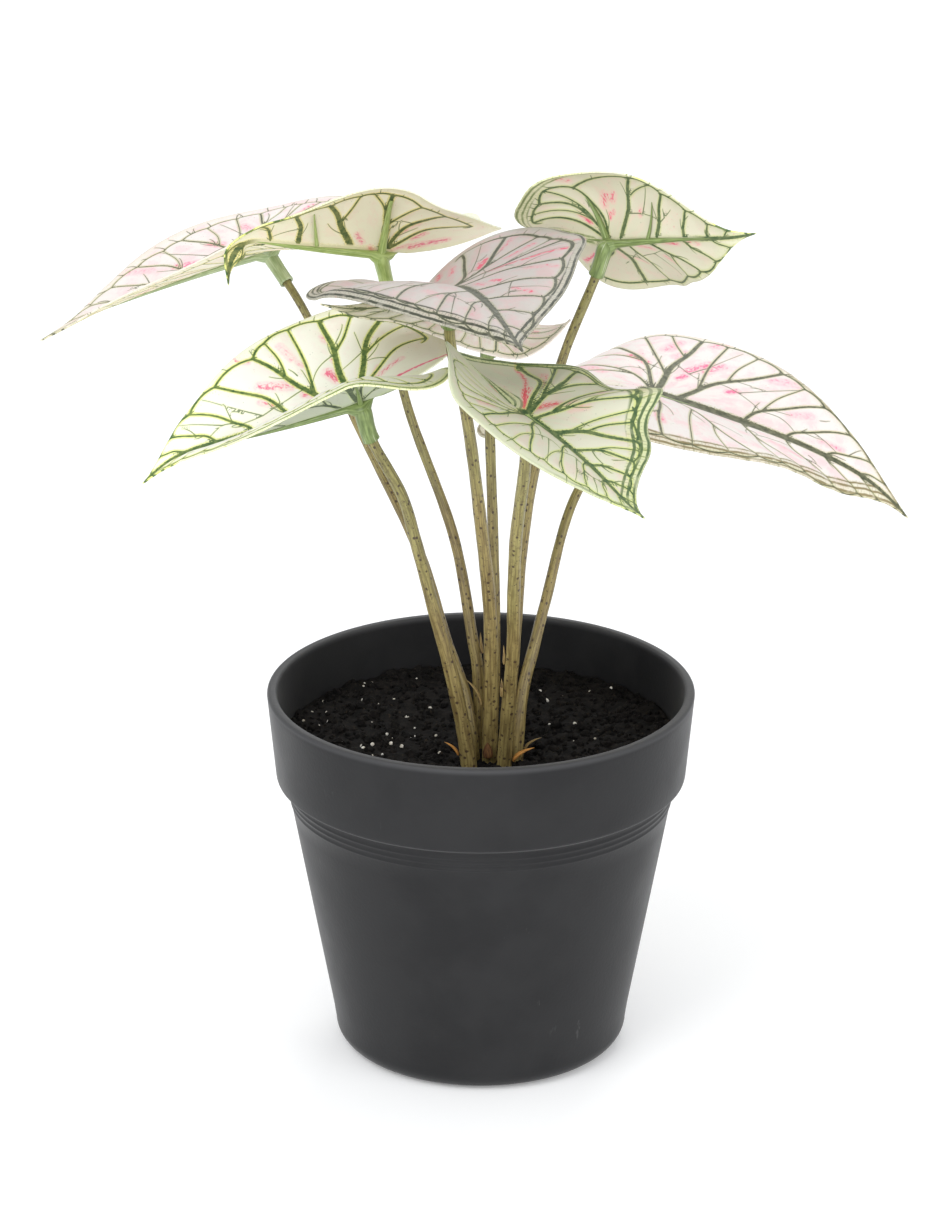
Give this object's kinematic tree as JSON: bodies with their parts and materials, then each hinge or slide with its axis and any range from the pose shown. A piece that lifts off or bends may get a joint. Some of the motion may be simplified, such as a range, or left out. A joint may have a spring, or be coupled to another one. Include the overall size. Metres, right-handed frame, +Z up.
{
  "type": "potted caladium",
  "caption": "Potted caladium: heart-shaped printed leaves with branching veins on slender speckled stems, set in dark soil in a plain flared round pot.",
  "frame": {"origin": "centre of the pot's flat underside", "axes": "+Z up through the pot's turning axis, -Y the front, +X to the right seen from the front"},
  "size_m": [0.2694, 0.2357, 0.2811],
  "materials": {
    "pot_plastic": "satin charcoal",
    "soil": "near-black crumbly potting mix with pale perlite",
    "stem_plastic": "olive-khaki with dark purple-brown specks",
    "rib_plastic": "light green",
    "leaf_print": "cream and pink print with green veins",
    "dried_sheath": "tan to orange-brown"
  },
  "bodies": {
    "root": {"pot": "pot_plastic", "potting_soil": "soil", "petiole_far_left": "stem_plastic", "rib_frame_far_left": "rib_plastic", "leaf_blade_far_left": "leaf_print", "petiole_upper_left": "stem_plastic", "rib_frame_upper_left": "rib_plastic", "leaf_blade_upper_left": "leaf_print", "petiole_lower_left": "stem_plastic", "rib_frame_lower_left": "rib_plastic", "leaf_blade_lower_left": "leaf_print", "petiole_centre": "stem_plastic", "rib_frame_centre": "rib_plastic", "leaf_blade_centre": "leaf_print", "petiole_upper_right": "stem_plastic", "rib_frame_upper_right": "rib_plastic", "leaf_blade_upper_right": "leaf_print", "petiole_front": "stem_plastic", "rib_frame_front": "rib_plastic", "leaf_blade_front": "leaf_print", "petiole_far_right": "stem_plastic", "rib_frame_far_right": "rib_plastic", "leaf_blade_far_right": "leaf_print", "petiole_inner": "stem_plastic", "rib_frame_inner": "rib_plastic", "leaf_blade_inner": "leaf_print", "sheath_tip_1": "dried_sheath", "sheath_tip_2": "dried_sheath", "sheath_tip_3": "dried_sheath", "sheath_tip_4": "dried_sheath", "sheath_tip_5": "dried_sheath", "sheath_tip_6": "dried_sheath", "sheath_tip_7": "dried_sheath", "sheath_tip_8": "dried_sheath", "sheath_tip_9": "dried_sheath"}
  },
  "joints": []
}
